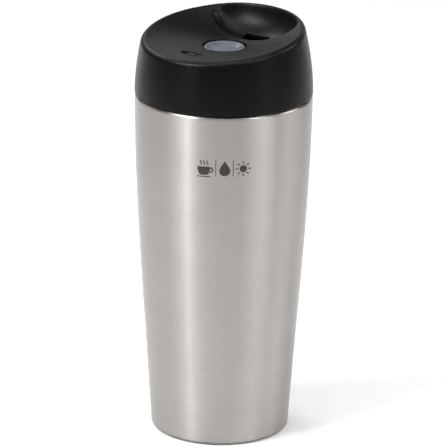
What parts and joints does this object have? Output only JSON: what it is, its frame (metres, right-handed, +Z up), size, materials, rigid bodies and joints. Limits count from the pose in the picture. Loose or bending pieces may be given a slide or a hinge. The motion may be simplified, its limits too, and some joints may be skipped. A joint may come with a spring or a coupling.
{
  "type": "insulated travel mug",
  "caption": "Tapered double-wall steel travel mug with a screw-in black lid, slanted drinking edge, scooped spout and push-button valve.",
  "frame": {"origin": "centre of the mug's base, on the plane it stands on", "axes": "+Z up along the mug's axis, +X towards the drinking side, where the lid's edge is highest"},
  "size_m": [0.0822, 0.0822, 0.1965],
  "materials": {
    "shell_steel": "stainless steel brushed round the body, satin",
    "liner_steel": "plain drawn stainless steel, dull",
    "seal_solder": "solidified brazing bead, dull grey",
    "getter_alloy": "sintered metal powder, matte",
    "black_plastic": "black polypropylene with a fine moulded grain, satin",
    "grey_plastic": "dark grey moulded plastic, semi-matte",
    "white_plastic": "natural white acetal, smooth",
    "button_plastic": "smoky blue-grey translucent plastic, smooth",
    "silicone": "food-grade silicone, matte translucent grey",
    "black_silicone": "black silicone, matte",
    "spring_steel": "bright stainless steel"
  },
  "bodies": {
    "mug": {"outer_shell": "shell_steel", "inner_liner": "liner_steel", "base_plate": "liner_steel", "base_cap": "shell_steel", "vacuum_seal": "seal_solder", "getter_pill": "getter_alloy", "getter_clip": "liner_steel"},
    "gasket": {"rim_gasket": "black_silicone"},
    "mouth_ring": {"mouth_seal": "silicone"},
    "lid": {"lid_cover": "black_plastic", "lid_insert": "grey_plastic", "cover_seal": "silicone", "latch_housing": "grey_plastic", "stem_seal": "silicone", "seal_retainer": "white_plastic", "return_spring": "spring_steel"},
    "valve_train": {"button_cap": "button_plastic", "plunger": "white_plastic", "button_seal": "silicone", "spring_seat": "spring_steel", "valve_stem": "spring_steel", "valve_disc": "grey_plastic", "valve_seal": "silicone", "stem_nut": "spring_steel"},
    "rotor": {"latch_rotor": "grey_plastic"}
  },
  "joints": [
    {"name": "lid_off", "type": "slide", "parent": "mug", "child": "gasket", "axis": [0, 0, 1], "range_m": [0, 0.075]},
    {"name": "lid_rise", "type": "slide", "parent": "gasket", "child": "mouth_ring", "axis": [0, 0, 1], "range_m": [0, 0.00801]},
    {"name": "lid_turn", "type": "hinge", "parent": "mouth_ring", "child": "lid", "pos_m": [0, 0, 0.163], "axis": [0, 0, 1], "range_deg": [0, 576]},
    {"name": "button_press", "type": "slide", "parent": "lid", "child": "valve_train", "axis": [0, 0, -1], "range_m": [0, 0.006], "stiffness_N_per_m": 300, "springref_m": -0.008, "deforming": ["return_spring"]},
    {"name": "rotor_index", "type": "hinge", "parent": "valve_train", "child": "rotor", "pos_m": [0, 0, 0.1698], "axis": [0, 0, 1], "range_deg": [0, 45]}
  ],
  "couplings": [
    {"joint": "lid_rise", "follows": "lid_turn", "m_per_rad": 0.00079577},
    {"joint": "rotor_index", "follows": "button_press", "rad_per_m": 130.85}
  ]
}
